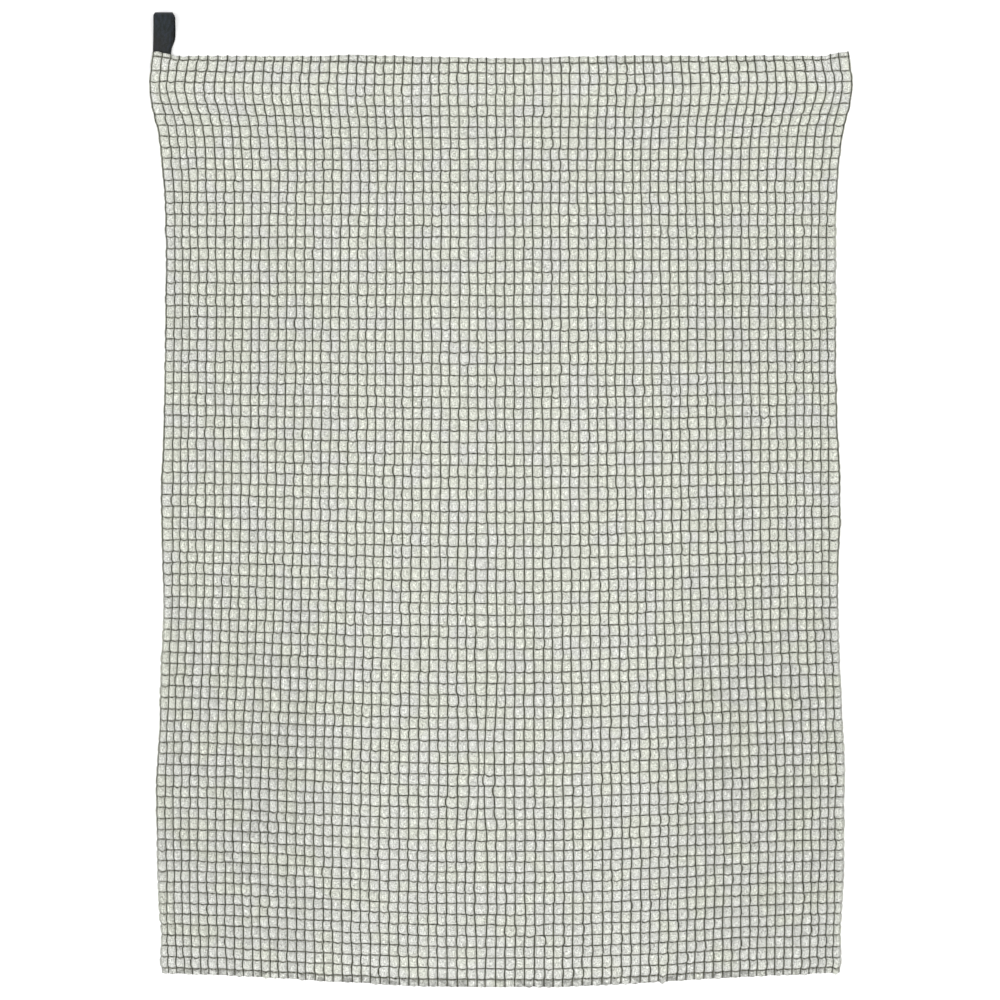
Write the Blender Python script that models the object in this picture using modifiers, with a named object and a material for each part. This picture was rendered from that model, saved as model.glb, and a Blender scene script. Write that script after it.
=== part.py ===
"""Tea towel of puffed cotton check with a hanging loop of tape, lying flat and face up.

Metres, +Z up, +Y towards the hem that carries the loop. The origin lies on the surface under the
towel, in the middle of its outline.
"""

import math
from collections import namedtuple

import bmesh
import bpy

MM = 0.001

# Cloth, cut about 50 x 70 cm
RIBS = 75  # puffed columns between the dark upright threads
RIB_STEPS = 2  # valley to crest, crest to valley
NARROW_RIB = 0.84  # width of the second rib from each side, which the side hem draws in
REST_HALF_WIDTH = 252.0 * MM  # half width where nothing spreads or draws in the ribs
SPREAD_POWER = 2.2  # how soon a side's spread dies away towards the middle
SIDE_TOP = 332.3 * MM  # top edge at the sides, above the origin
SIDE_LENGTH = 687.9 * MM
TOP_DIP = 1.0 * MM  # how far the top edge hangs lower at mid width
TOP_DIP_FADE = 40.0 * MM
BOW = 9.4 * MM  # how far the lower rows hang lower at mid width
BOW_START = 110.0 * MM  # below the top edge
BOW_FULL = 640.0 * MM
BOW_POWER = 1.6
CORNER_WIDTH = 0.045  # share of the half width where the top corners stand up
CORNER_RISE = 2.7 * MM
CORNER_FADE = 14.0 * MM

VALLEY = 1.3 * MM  # thickness at a dark thread
CREST = 2.1 * MM  # thickness on a rib
HEM_WIDTH = 30.0 * MM
HEM_EXTRA = 0.65 * MM  # the second layer of a turned hem, pressed flat
EDGE_HEIGHT = 0.9 * MM
SWELL = 0.12 * MM  # broad unevenness
SWELL_LENGTH = 150.0 * MM
SWELL_PHASE = 0.6
CREASE_DEPTH = 0.35 * MM  # soft fold line down the middle
CREASE_WIDTH = 8.0 * MM
CREASE_TOP_X = -2.5 * MM
CREASE_BOTTOM_X = -13.0 * MM

Side = namedtuple("Side", "below_top half_width")
SIDES = (  # the slightly wavy side edge, in millimetres
    Side(0.0, 261.9),
    Side(10.0, 263.0),
    Side(21.0, 263.7),
    Side(36.0, 262.1),
    Side(48.0, 259.2),
    Side(61.0, 256.5),
    Side(85.0, 254.0),
    Side(130.0, 251.9),
    Side(182.0, 251.8),
    Side(257.0, 252.7),
    Side(332.0, 255.3),
    Side(407.0, 253.4),
    Side(482.0, 255.8),
    Side(557.0, 258.6),
    Side(602.0, 257.7),
    Side(632.0, 257.2),
    Side(659.0, 255.0),
    Side(675.0, 255.9),
    Side(SIDE_LENGTH / MM, 255.0),
)
HEM_STEP = 3.0 * MM  # how fast a hem's second layer ends
EDGE_ROUND = 1.6 * MM  # width of the rounded rim

# Hanging loop, a dark tape folded double
TAPE_WIDTH = 15.4 * MM
TAPE_THICK = 0.7 * MM
GAP = 0.3 * MM  # clearance that each piece keeps to the next
LOOP_TOP = 365.0 * MM  # outside of the fold, above the origin
LOOP_TUCK = 322.6 * MM  # where both ends stop behind the hem
LOOP_MOUTH = 337.5 * MM  # where the two legs part
LOOP_X = -253.7 * MM  # middle of the tape at its root
FOLD_RADIUS = 3.6 * MM  # of the tape's middle surface
FOLD_X_SHIFT = 1.0 * MM
BACK_LEG_BULGE = 1.9 * MM  # how far the lower leg shows beside the upper one
LEG_HOLLOW = 0.12  # how far the upper leg sags below a straight line, as a share of its fall
FOLD_NARROWER = 1.2 * MM  # the fold's corners are drawn in
FOLD_STEPS = 12
LEG_STEPS = 7
TAPE_STEPS = 4

POCKET_HEIGHT = 2 * TAPE_THICK + 2 * GAP  # room for both ends under the hem
POCKET_COVER = 1.0 * MM  # cloth over them, on a rib
POCKET_VALLEY_COVER = 0.6 * MM
POCKET_RIM_COVER = 0.5 * MM
POCKET_END = LOOP_TUCK - GAP
POCKET_SIDE = LOOP_X + TAPE_WIDTH / 2 + 1.2 * MM
POCKET_FADE = 4.0 * MM  # width over which the raised cloth comes down again
POCKET_REACH = 20.0 * MM  # how far the cut runs out past the cloth's edges


def ease(share):
    """Smooth 0 to 1."""
    share = min(max(share, 0.0), 1.0)
    return share * share * (3 - 2 * share)


def half_width_at(below_top):
    """The side edge's distance from the middle, on a smooth curve through SIDES."""
    place = below_top / MM
    last = len(SIDES) - 1
    index = 0
    while index < last - 1 and SIDES[index + 1].below_top < place:
        index += 1
    near = SIDES[index]
    far = SIDES[index + 1]
    before = SIDES[max(index - 1, 0)]
    after = SIDES[min(index + 2, last)]
    span = far.below_top - near.below_top
    share = min(max((place - near.below_top) / span, 0.0), 1.0)
    slope_in = (far.half_width - before.half_width) / (far.below_top - before.below_top) * span
    slope_out = (after.half_width - near.half_width) / (after.below_top - near.below_top) * span
    square = share * share
    cube = square * share
    width = (
        (2 * cube - 3 * square + 1) * near.half_width
        + (cube - 2 * square + share) * slope_in
        + (3 * square - 2 * cube) * far.half_width
        + (cube - square) * slope_out
    )
    return width * MM


def rib_edges():
    """Share of the full width, from -1 to 1, at each dark thread."""
    widths = [1.0] * RIBS
    widths[1] = NARROW_RIB
    widths[-2] = NARROW_RIB
    total = sum(widths)
    edges = [-1.0]
    for width in widths:
        edges.append(edges[-1] + 2 * width / total)
    return edges


def bow_at(below_top):
    dip = TOP_DIP * math.exp(-below_top / TOP_DIP_FADE)
    return dip + BOW * ease((below_top - BOW_START) / (BOW_FULL - BOW_START))


def corner_lift(across, below_top):
    """0 to 1 where the cloth stands up at a top corner."""
    near_side = ease((abs(across) - 1 + 2 * CORNER_WIDTH) / CORNER_WIDTH)
    return near_side * ease(1 - below_top / CORNER_FADE)


def cloth_place(across, below_top):
    """World x and y of the point at a share of the width and a distance below the top edge."""
    spread = half_width_at(below_top) - REST_HALF_WIDTH
    x = REST_HALF_WIDTH * across + math.copysign(spread * abs(across) ** SPREAD_POWER, across)
    mid_share = max(math.cos(abs(across) * math.pi / 2), 0.0) ** BOW_POWER
    y = SIDE_TOP - below_top - bow_at(below_top) * mid_share
    return x, y + CORNER_RISE * corner_lift(across, below_top)


def hem_share(below_top):
    """1 on the turned top and bottom hems, 0 between them."""
    from_end = min(below_top, SIDE_LENGTH - below_top)
    return 1 - ease((from_end - HEM_WIDTH) / HEM_STEP)


def swell_at(x, y):
    """Broad, shallow unevenness of the cloth as it lies."""
    turn = 2 * math.pi / SWELL_LENGTH
    return SWELL * math.sin(x * turn + SWELL_PHASE) * math.sin(y * turn)


def crease_at(x, below_top):
    """Depth of the soft fold line, which runs down the middle at a slight slant."""
    crease_x = CREASE_TOP_X + (CREASE_BOTTOM_X - CREASE_TOP_X) * below_top / SIDE_LENGTH
    return CREASE_DEPTH * math.exp(-(((x - crease_x) / CREASE_WIDTH) ** 2))


def cloth_height(across, below_top, on_crest, on_rim):
    """Height of the cloth's face above the surface that it lies on."""
    x, y = cloth_place(across, below_top)
    beside_loop = ease((POCKET_SIDE + POCKET_FADE - x) / POCKET_FADE)
    over_loop = beside_loop * ease((y - POCKET_END + POCKET_FADE) / POCKET_FADE)
    if on_rim:
        rim = EDGE_HEIGHT + HEM_EXTRA / 2 * hem_share(below_top)
        return max(rim, (POCKET_HEIGHT + POCKET_RIM_COVER) * over_loop)
    height = (CREST if on_crest else VALLEY) + HEM_EXTRA * hem_share(below_top)
    if on_crest:
        height += swell_at(x, y) - crease_at(x, below_top)
    cover = POCKET_COVER if on_crest else POCKET_VALLEY_COVER
    return max(height, (POCKET_HEIGHT + cover) * over_loop)


def row_distances():
    """Distances below the top edge at which the cloth has a row of points."""
    rows = {side.below_top * MM for side in SIDES}
    for from_end in (EDGE_ROUND, HEM_WIDTH, HEM_WIDTH + HEM_STEP):
        rows.update((from_end, SIDE_LENGTH - from_end))
    return sorted(rows)


def columns_across():
    """Share of the width at each column of points, and whether the column runs along a crest."""
    edges = rib_edges()
    columns = [(edges[0], False)]
    for left, right in zip(edges, edges[1:]):
        for step in range(1, RIB_STEPS + 1):
            columns.append((left + (right - left) * step / RIB_STEPS, step < RIB_STEPS))
    return columns


def make_material(name, colour, roughness):
    material = bpy.data.materials.new(name)
    material.use_nodes = True
    shader = material.node_tree.nodes["Principled BSDF"]
    shader.inputs["Base Color"].default_value = (*colour, 1.0)
    shader.inputs["Roughness"].default_value = roughness
    shader.inputs["Metallic"].default_value = 0.0
    material.diffuse_color = (*colour, 1.0)
    return material


def add_object(name, mesh, collection, material):
    """Turns the bmesh into a named object with its material."""
    data = bpy.data.meshes.new(name)
    mesh.to_mesh(data)
    mesh.free()
    data.materials.append(material)
    piece = bpy.data.objects.new(name, data)
    collection.objects.link(piece)
    return piece


def make_cloth(collection):
    """A grid of ribs and rows set on the cloth's outline, closed by a skirt and a flat underside."""
    rows = row_distances()
    columns = columns_across()
    last_row = len(rows) - 1
    last_column = len(columns) - 1
    mesh = bmesh.new()
    bmesh.ops.create_grid(mesh, x_segments=last_column, y_segments=last_row, size=1.0)
    for vert in mesh.verts:
        column = round((vert.co.x + 1) / 2 * last_column)
        row = round((1 - vert.co.y) / 2 * last_row)
        across, on_crest = columns[column]
        on_rim = column in (0, last_column) or row in (0, last_row)
        x, y = cloth_place(across, rows[row])
        vert.co = (x, y, cloth_height(across, rows[row], on_crest, on_rim))
    rim = [edge for edge in mesh.edges if edge.is_boundary]
    skirt = bmesh.ops.extrude_edge_only(mesh, edges=rim)
    for item in skirt["geom"]:
        if isinstance(item, bmesh.types.BMVert):
            item.co.z = 0.0
    underside = [edge for edge in mesh.edges if edge.is_boundary]
    bmesh.ops.contextual_create(mesh, geom=underside)
    bmesh.ops.recalc_face_normals(mesh, faces=mesh.faces)
    material = make_material("cotton_check", (0.62, 0.62, 0.55), 0.95)
    return add_object("towel_cloth", mesh, collection, material)


def make_pocket_cutter(collection):
    """The space behind the top hem that the loop's two ends fill, open at the top and left edges."""
    left = LOOP_X - TAPE_WIDTH / 2 - POCKET_REACH
    top = SIDE_TOP + POCKET_REACH
    mesh = bmesh.new()
    bmesh.ops.create_cube(mesh, size=1.0)
    low = (left, POCKET_END, -POCKET_HEIGHT)
    high = (POCKET_SIDE, top, POCKET_HEIGHT)
    for vert in mesh.verts:
        vert.co = [a + (b - a) * (share + 0.5) for a, b, share in zip(low, high, vert.co)]
    cutter = add_object("pocket_cutter", mesh, collection, make_material("cutter", (0.8, 0.2, 0.1), 0.5))
    cutter.hide_render = True
    cutter.display_type = "WIRE"
    return cutter


def loop_path():
    """Points (x, y, z, half width) along the tape's middle, from the lower end round to the upper end."""
    low_z = TAPE_THICK / 2
    high_z = low_z + TAPE_THICK + GAP
    centre_y = LOOP_TOP - FOLD_RADIUS - TAPE_THICK / 2
    centre_z = low_z + FOLD_RADIUS
    run = centre_y - LOOP_MOUTH
    lean = math.atan2(2 * FOLD_RADIUS - (high_z - low_z), run)
    turned = math.pi + lean
    points = [(0.0, LOOP_TUCK, low_z)]
    for step in range(LEG_STEPS):
        share = step / LEG_STEPS
        x = FOLD_X_SHIFT * share + BACK_LEG_BULGE * math.sin(share * math.pi) ** 2
        points.append((x, LOOP_MOUTH + run * share, low_z))
    for step in range(FOLD_STEPS + 1):
        angle = -math.pi / 2 + turned * step / FOLD_STEPS
        y = centre_y + FOLD_RADIUS * math.cos(angle)
        points.append((FOLD_X_SHIFT, y, centre_z + FOLD_RADIUS * math.sin(angle)))
    _, leave_y, leave_z = points[-1]
    for step in range(1, LEG_STEPS + 1):
        share = step / LEG_STEPS
        y = leave_y + (LOOP_MOUTH - leave_y) * share
        z = leave_z + (high_z - leave_z) * (share + LEG_HOLLOW * math.sin(share * math.pi))
        points.append((FOLD_X_SHIFT * (1 - share), y, z))
    points.append((0.0, LOOP_TUCK, high_z))
    widths = []
    for _, y, _ in points:
        drawn_in = FOLD_NARROWER * ease((y - centre_y) / FOLD_RADIUS)
        widths.append(TAPE_WIDTH / 2 - drawn_in)
    return [(LOOP_X + x, y, z, width) for (x, y, z), width in zip(points, widths)]


def make_loop(collection):
    """The folded tape: an open band along the path, made solid by its thickness."""
    path = loop_path()
    last = len(path) - 1
    mesh = bmesh.new()
    bmesh.ops.create_grid(mesh, x_segments=TAPE_STEPS, y_segments=last, size=1.0)
    for vert in mesh.verts:
        index = round((vert.co.y + 1) / 2 * last)
        x, y, z, half_width = path[index]
        vert.co = (x + half_width * vert.co.x, y, z)
    material = make_material("cotton_tape", (0.035, 0.038, 0.042), 0.9)
    loop = add_object("hanging_loop", mesh, collection, material)
    solidify = loop.modifiers.new("tape thickness", "SOLIDIFY")
    solidify.thickness = TAPE_THICK
    solidify.offset = 0.0
    solidify.use_even_offset = True
    return loop


def build():
    for old in list(bpy.data.objects):
        bpy.data.objects.remove(old, do_unlink=True)
    towel = bpy.data.collections.new("tea_towel")
    cutters = bpy.data.collections.new("cutters")
    bpy.context.scene.collection.children.link(towel)
    bpy.context.scene.collection.children.link(cutters)
    cloth = make_cloth(towel)
    pocket = cloth.modifiers.new("room for the loop's ends", "BOOLEAN")
    pocket.operation = "DIFFERENCE"
    pocket.solver = "EXACT"
    pocket.object = make_pocket_cutter(cutters)
    make_loop(towel)


build()
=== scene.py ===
import math

import bmesh
import bpy
import numpy as np
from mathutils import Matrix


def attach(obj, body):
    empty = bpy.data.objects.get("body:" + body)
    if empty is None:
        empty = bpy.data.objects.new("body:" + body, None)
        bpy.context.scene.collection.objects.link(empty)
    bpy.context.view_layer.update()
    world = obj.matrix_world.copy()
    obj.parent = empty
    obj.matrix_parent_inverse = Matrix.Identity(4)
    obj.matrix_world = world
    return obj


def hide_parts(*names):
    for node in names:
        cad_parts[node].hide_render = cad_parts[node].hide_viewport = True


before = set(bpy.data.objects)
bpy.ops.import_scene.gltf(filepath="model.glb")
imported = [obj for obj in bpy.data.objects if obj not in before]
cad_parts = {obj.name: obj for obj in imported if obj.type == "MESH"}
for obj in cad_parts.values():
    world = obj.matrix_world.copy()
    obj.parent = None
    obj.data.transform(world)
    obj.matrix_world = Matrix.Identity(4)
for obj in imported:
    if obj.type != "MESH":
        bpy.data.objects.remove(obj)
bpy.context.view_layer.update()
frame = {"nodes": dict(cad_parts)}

mm = 0.001
scene = bpy.context.scene
print("frame loaded:", ", ".join(frame["nodes"]))


# Small helpers

def hexColour(code):  # sRGB hex to the linear colour that a node takes
    parts = [int(code[i:i + 2], 16) / 255 for i in (1, 3, 5)]
    linear = [p / 12.92 if p <= 0.04045 else ((p + 0.055) / 1.055) ** 2.4 for p in parts]
    return (*linear, 1.0)


def addNode(material, kind, inputs=None, **settings):  # a node with its settings, values and links
    tree = material.node_tree
    node = tree.nodes.new("ShaderNode" + kind)
    for name, value in settings.items():
        setattr(node, name, value)
    for name, value in (inputs or {}).items():
        if isinstance(value, bpy.types.Node):
            value = value.outputs[0]
        if isinstance(value, bpy.types.NodeSocket):
            tree.links.new(value, node.inputs[name])
        else:
            node.inputs[name].default_value = value
    return node


def startMaterial(name, roughness, sheen):  # a matt fibre material, as cotton and paper are
    material = bpy.data.materials.new(name)
    material.use_nodes = True
    shader = material.node_tree.nodes["Principled BSDF"]
    shader.inputs["Roughness"].default_value = roughness
    shader.inputs["IOR"].default_value = 1.5
    shader.inputs["Specular IOR Level"].default_value = 0.2
    shader.inputs["Sheen Weight"].default_value = sheen
    shader.inputs["Sheen Roughness"].default_value = 0.5
    return material, shader


def addPiece(name, mesh, material):  # a bmesh becomes a piece that rides with the towel
    data = bpy.data.meshes.new(name)
    mesh.to_mesh(data)
    mesh.free()
    data.materials.append(material)
    data.shade_smooth()
    piece = bpy.data.objects.new(name, data)
    scene.collection.objects.link(piece)
    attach(piece, "root")
    return piece


def ease(share):  # soft 0 to 1
    share = np.clip(share, 0.0, 1.0)
    return share * share * (3 - 2 * share)


def softStep(near, far, slopeNear, slopeFar, t, span):  # t runs 0 to 1 from near to far
    bend = t * (1 - t) * ((1 - t) * slopeNear - t * slopeFar) * span
    return near + (far - near) * ease(t) + bend


def softCurve(table, at):  # a soft curve through the table's points
    xs, ys = np.array(table, float).T
    slopes = np.gradient(ys, xs)
    i = np.clip(np.searchsorted(xs, at) - 1, 0, len(xs) - 2)
    span = xs[i + 1] - xs[i]
    t = np.clip((at - xs[i]) / span, 0.0, 1.0)
    return softStep(ys[i], ys[i + 1], slopes[i], slopes[i + 1], t, span)


# Camera: straight above the towel, which fills the frame as in the photograph

view = {
    "frameWidth": 750 * mm,  # of the cloth's plane, 0.75 mm a pixel
    "centreX": -0.35 * mm,
    "centreY": -0.5 * mm,
    "lens": 100.0,
    "sensor": 36.0,
    "clothPlane": 2 * mm,  # about the height of the puffs' tops
}
cameraData = bpy.data.cameras.new("camera")
cameraData.lens = view["lens"]
cameraData.sensor_width = view["sensor"]
camera = bpy.data.objects.new("camera", cameraData)
distance = view["frameWidth"] * view["lens"] / view["sensor"]
camera.location = (view["centreX"], view["centreY"], view["clothPlane"] + distance)
scene.collection.objects.link(camera)
scene.camera = camera
print("camera", round(distance, 3), "m above the cloth")


# The cloth's threads: u counts dark upright threads from the left, v dark cross threads from the top

weave = {
    "columns": 75,
    "rows": 82,
    "edgeInset": 0.3 * mm,  # the fold's own edge stands this far inside the puffs' outline
    "edgeMargin": 1.0 * mm,  # cloth outside the first and last upright thread
    "topMargin": 3.15 * mm,
    "rowPitch": 8.31 * mm,
    "sideTop": 332.3 * mm,
    "sideLength": 687.9 * mm,
    "topDip": 1.0 * mm,
    "topDipFade": 40 * mm,
    "topWaverFade": 4.5 * mm,
    "upperDipFrom": 3 * mm,  # below the top edge
    "upperDipTo": 140 * mm,
    "upperDipFade": 70 * mm,
    "firstDip": 0.5 * mm,  # the first cross thread lies lower at mid width
    "firstDipHigh": 4 * mm,  # above and below it
    "firstDipHalf": 130 * mm,  # each side of the middle
    "firstDipFade": 40 * mm,
    "lastDip": 1.3 * mm,  # and the bottom edge
    "bowPower": 1.6,
    "cornerFrom": 245.3 * mm,  # the top corners stand up over the loop's ends
    "cornerStep": 1.8 * mm,
    "cornerStepShare": 0.45,  # share of the rise that this short step makes
    "cornerWidth": 12 * mm,
    "cornerRise": 3.3 * mm,
    "cornerFade": 10 * mm,
    "threadWander": 0.15 * mm,  # an upright thread's own place, all the way down
    "crossJitter": 0.2 * mm,  # unevenness of each crossing
    "bulgeOut": 0.6 * mm,  # upright threads bow outwards between two crossings
    "bulgeTurns": 5,  # columns each side of the middle over which left turns to right
    "bulgeVaries": 0.5 * mm,
    "bulgeRowVaries": 0.12 * mm,
    "bulgeAtSides": 0.45,  # share of that on the outermost threads, which the hems hold straighter
    "sag": 0.48 * mm,  # cross threads hang between two crossings
    "sagVaries": 0.5 * mm,
    "kinked": 0.05,  # share of cells whose cross thread is pushed down further
    "kinkDepth": 0.5 * mm,
    "puffVaries": 0.14,
    "leanOut": 0.4 * mm,  # a puff is higher on its outer side
    "leanOutVaries": 0.2 * mm,
    "leanDown": 0.12 * mm,  # and on its lower side
    "leanDownVaries": 0.16 * mm,
    "shadeVaries": 0.3,
    "crumpleFrom": 58,  # row from which the cells are more crumpled
    "crumpleOver": 18,  # rows that this takes to set in
    "lowerCrumple": 0.6,  # how much more uneven the cells are near the bottom
    "creaseColumn": 35.5,
    "creaseSpread": 2.2,  # columns that give way beside it
    "scallop": 0.35 * mm,  # puffs stand past the hems between threads
    "scallopAtEnds": 1.4,  # times that at the top and bottom hems
    "scallopLeast": 0.5,
    "scallopMost": 1.4,
    "lowScallop": 0.9 * mm,  # at the sides near the bottom
    "lowScallopFrom": 68,
    "lowScallopOver": 8,
    "seed": 11,
}
sideEdge = [  # mm below the top edge, half width in mm
    (0, 261.6), (10, 262.9), (18, 264.1), (25, 264.0), (36, 262.6), (48, 259.5), (61, 256.9), (85, 254.1),
    (130, 251.9), (182, 251.8), (257, 252.7), (332, 255.3), (407, 253.4), (482, 255.8),
    (557, 258.6), (602, 257.7), (632, 257.2), (659, 255.0), (675, 255.9), (687.9, 255.0),
]
topWaver = [(0, -0.2), (20, -0.1), (60, 0.9), (105, 1.5), (150, 0.3), (195, 0.8), (240, -0.1), (265, 0)]
rowDrift = [  # row, mm that it lies late
    (-0.4, 0), (1.3, -0.25), (4.9, -0.65), (8.5, -1.3), (12.1, -1.3), (15.8, -0.65), (19.4, 0.25),
    (23, 1.2), (26.6, 1.2), (30.2, 0.2), (33.8, 0.45), (37.4, 1.15), (41, 1.7), (44.6, 2.35),
    (48.2, 2.95), (51.9, 3.1), (55.5, 3.65), (59.1, 4.2), (62.7, 4.15), (66.3, 3.6), (70, 2.5),
    (73.6, 0.8), (77.2, -0.18), (80.8, -0.85), (82, -1.15), (82.6, -1.15),
]
bowDepth = [  # mm below the top edge, mm that a row hangs lower at mid width
    (0, 0), (110, 0), (150, 0.2), (200, 1.1), (250, 2.7), (280, 3.3), (310, 3.8), (340, 4.4), (370, 5.0),
    (400, 5.5), (430, 5.9), (470, 6.8), (520, 8.1), (570, 8.95), (640, 9.0), (690, 9.3),
]
upperDip = [  # mm from the middle, mm that the upper rows lie lower there
    (0, 0.4), (20, 0.5), (60, 0.9), (100, 0.95), (130, 0.7), (150, 0.5), (170, 0.2), (200, 0), (240, -0.4),
    (265, -0.4),
]
edgeThreads = [  # row, share of the outermost left and right thread that isn't turned under
    (-1, 0.85, 1), (8, 0.9, 1), (12, 1, 0.5), (15, 1, 0.15), (22, 0.9, 0.15), (26, 0.6, 0.55),
    (34, 0.9, 1), (42, 0.8, 0.7), (46, 0.5, 0.5), (50, 0.05, 0.2), (55, 0.25, 0), (64, 0.45, 0),
    (70, 0.3, 0), (74, 0, 0), (83, 0, 0),
]
creaseWidens = [  # row, mm by which the cells on the old middle fold are wider
    (0, 0), (34, 0), (42, 1.4), (54, 1.6), (58, -1.2), (61, -3.4), (65, -3.2), (68, 0), (71, 1.8),
    (75, 1.8), (79, 0), (82, -1.2),
]
placedThreads = [1, 2, 8, 20, 31, 37.5]  # counted from the nearer side
threadPlaces = [  # row, then how far those threads lie from the middle in mm, as the cloth draws in
    (0, 253.7, 247.4, 204.8, 121.0, 45.0, 0),
    (2.5, 255.8, 250.2, 206.8, 122.0, 45.4, 0),
    (6, 249.4, 243.3, 202.0, 119.6, 44.6, 0),
    (10, 245.9, 240.0, 199.8, 118.6, 44.2, 0),
    (16, 244.2, 238.6, 199.6, 119.5, 44.4, 0),
    (32, 245.5, 239.7, 200.8, 120.6, 44.8, 0),
    (50, 246.6, 241.0, 202.5, 122.8, 45.8, 0),
    (62, 250.7, 244.9, 206.1, 125.2, 46.7, 0),
    (74, 250.3, 244.8, 206.5, 125.9, 47.2, 0),
    (82, 249.0, 243.2, 205.4, 125.3, 47.0, 0),
]
columns = weave["columns"]
rows = weave["rows"]
random = np.random.default_rng(weave["seed"])


def crumpled(v):  # 0 on the upper rows, 1 where the cloth is crumpled
    return ease((v - weave["crumpleFrom"]) / weave["crumpleOver"])


def spreadNoise(size, along, over):  # random, each value leaning on its neighbours along one axis
    values = random.normal(0, 1, size)
    steps = range(-4, 5)
    total = sum(np.roll(values, step, axis=along) * math.exp(-((step / over) ** 2)) for step in steps)
    return total / total.std()


outward = (np.arange(columns + 1) - columns / 2) / weave["bulgeTurns"]
outward = np.tanh(outward)[:, None]  # -1 on the left, 1 on the right
crossX = weave["threadWander"] * random.normal(0, 1, (columns + 1, 1))
crossX = crossX + weave["crossJitter"] * spreadNoise((columns + 1, rows + 1), 1, 1.6)
fromCrease = np.arange(columns + 1)[:, None] - weave["creaseColumn"]
drawn = np.exp((0.5 - np.abs(fromCrease)) / weave["creaseSpread"])  # less the further from the fold
drawn = drawn * np.sign(fromCrease) / 2
crossX = crossX + drawn * softCurve(creaseWidens, np.arange(rows + 1)) * mm
crossY = weave["crossJitter"] * spreadNoise((columns + 1, rows + 1), 0, 1.2)
bulge = outward * (weave["bulgeOut"] + weave["bulgeRowVaries"] * random.normal(0, 1, (1, rows)))
bulge = bulge + weave["bulgeVaries"] * random.normal(0, 1, (columns + 1, rows))
bulge[[0, -1]] *= weave["bulgeAtSides"]
sag = random.normal(weave["sag"], weave["sagVaries"], (columns, rows + 1))
sag[random.random(sag.shape) < weave["kinked"]] += weave["kinkDepth"]
crumple = 1 + weave["lowerCrumple"] * crumpled(np.arange(rows))
puff = 1 + crumple * random.normal(0, weave["puffVaries"], (columns, rows))  # each cell's height
leanU = crumple * random.normal(0, weave["leanOutVaries"], (columns, rows))
leanU = leanU + weave["leanOut"] * outward[:-1]
leanV = crumple * random.normal(weave["leanDown"], weave["leanDownVaries"], (columns, rows))
scallopVaries = random.uniform(weave["scallopLeast"], weave["scallopMost"], rows)
shadeVaries = np.clip(random.normal(1, weave["shadeVaries"], (columns, rows)), 0, 2)


def belowTop(v):  # distance of a row from the top edge, at the side
    return weave["topMargin"] + weave["rowPitch"] * v + softCurve(rowDrift, v) * mm


vTop = -weave["topMargin"] / weave["rowPitch"]
vBottom = rows + 0.52  # the bottom edge, in rows past the last thread
uMargin = 0.18  # a side edge, in columns outside the first thread


def cellOf(u, v):  # column and row of the cell, and the place in it
    k = np.clip(np.floor(u), 0, columns - 1).astype(int)
    n = np.clip(np.floor(v), 0, rows - 1).astype(int)
    return k, n, np.clip(u - k, 0, 1), np.clip(v - n, 0, 1)


def uprightShift(k, n, fv):  # sideways waver of upright thread k within row n
    return crossX[k, n] + (crossX[k, n + 1] - crossX[k, n]) * ease(fv) + bulge[k, n] * np.sin(np.pi * fv)


def crossShift(k, n, fu):  # waver of cross thread n within column k, mostly a sag
    step = crossY[k, n] + (crossY[k + 1, n] - crossY[k, n]) * ease(fu)
    return step - sag[k, n] * (np.sin(np.pi * fu) ** 1.5 - 0.25)


def scallopAt(share):  # how far the edge stands out between two threads
    return np.sin(np.pi * share) ** 0.7 - 0.4


def fromMiddle(u, v, halfWidth):  # soft curve through the placed threads, out to the first thread
    fromSide = np.clip(np.minimum(u, columns - u), 0, columns / 2)
    anchors = np.array([0] + placedThreads)
    places = np.array(threadPlaces)
    reach = [halfWidth - weave["edgeInset"] - weave["edgeMargin"]]
    reach += [softCurve(places[:, [0, i]], v) * mm for i in range(1, places.shape[1])]
    reach = np.stack(reach)
    slopes = np.gradient(reach, anchors, axis=0)
    i = np.clip(np.searchsorted(anchors, fromSide) - 1, 0, len(anchors) - 2)[None]
    span = np.take(anchors, i + 1) - np.take(anchors, i)
    t = (fromSide[None] - np.take(anchors, i)) / span
    near, far = np.take_along_axis(reach, i, 0), np.take_along_axis(reach, i + 1, 0)
    slopeNear, slopeFar = np.take_along_axis(slopes, i, 0), np.take_along_axis(slopes, i + 1, 0)
    return softStep(near, far, slopeNear, slopeFar, t, span)[0]


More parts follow.
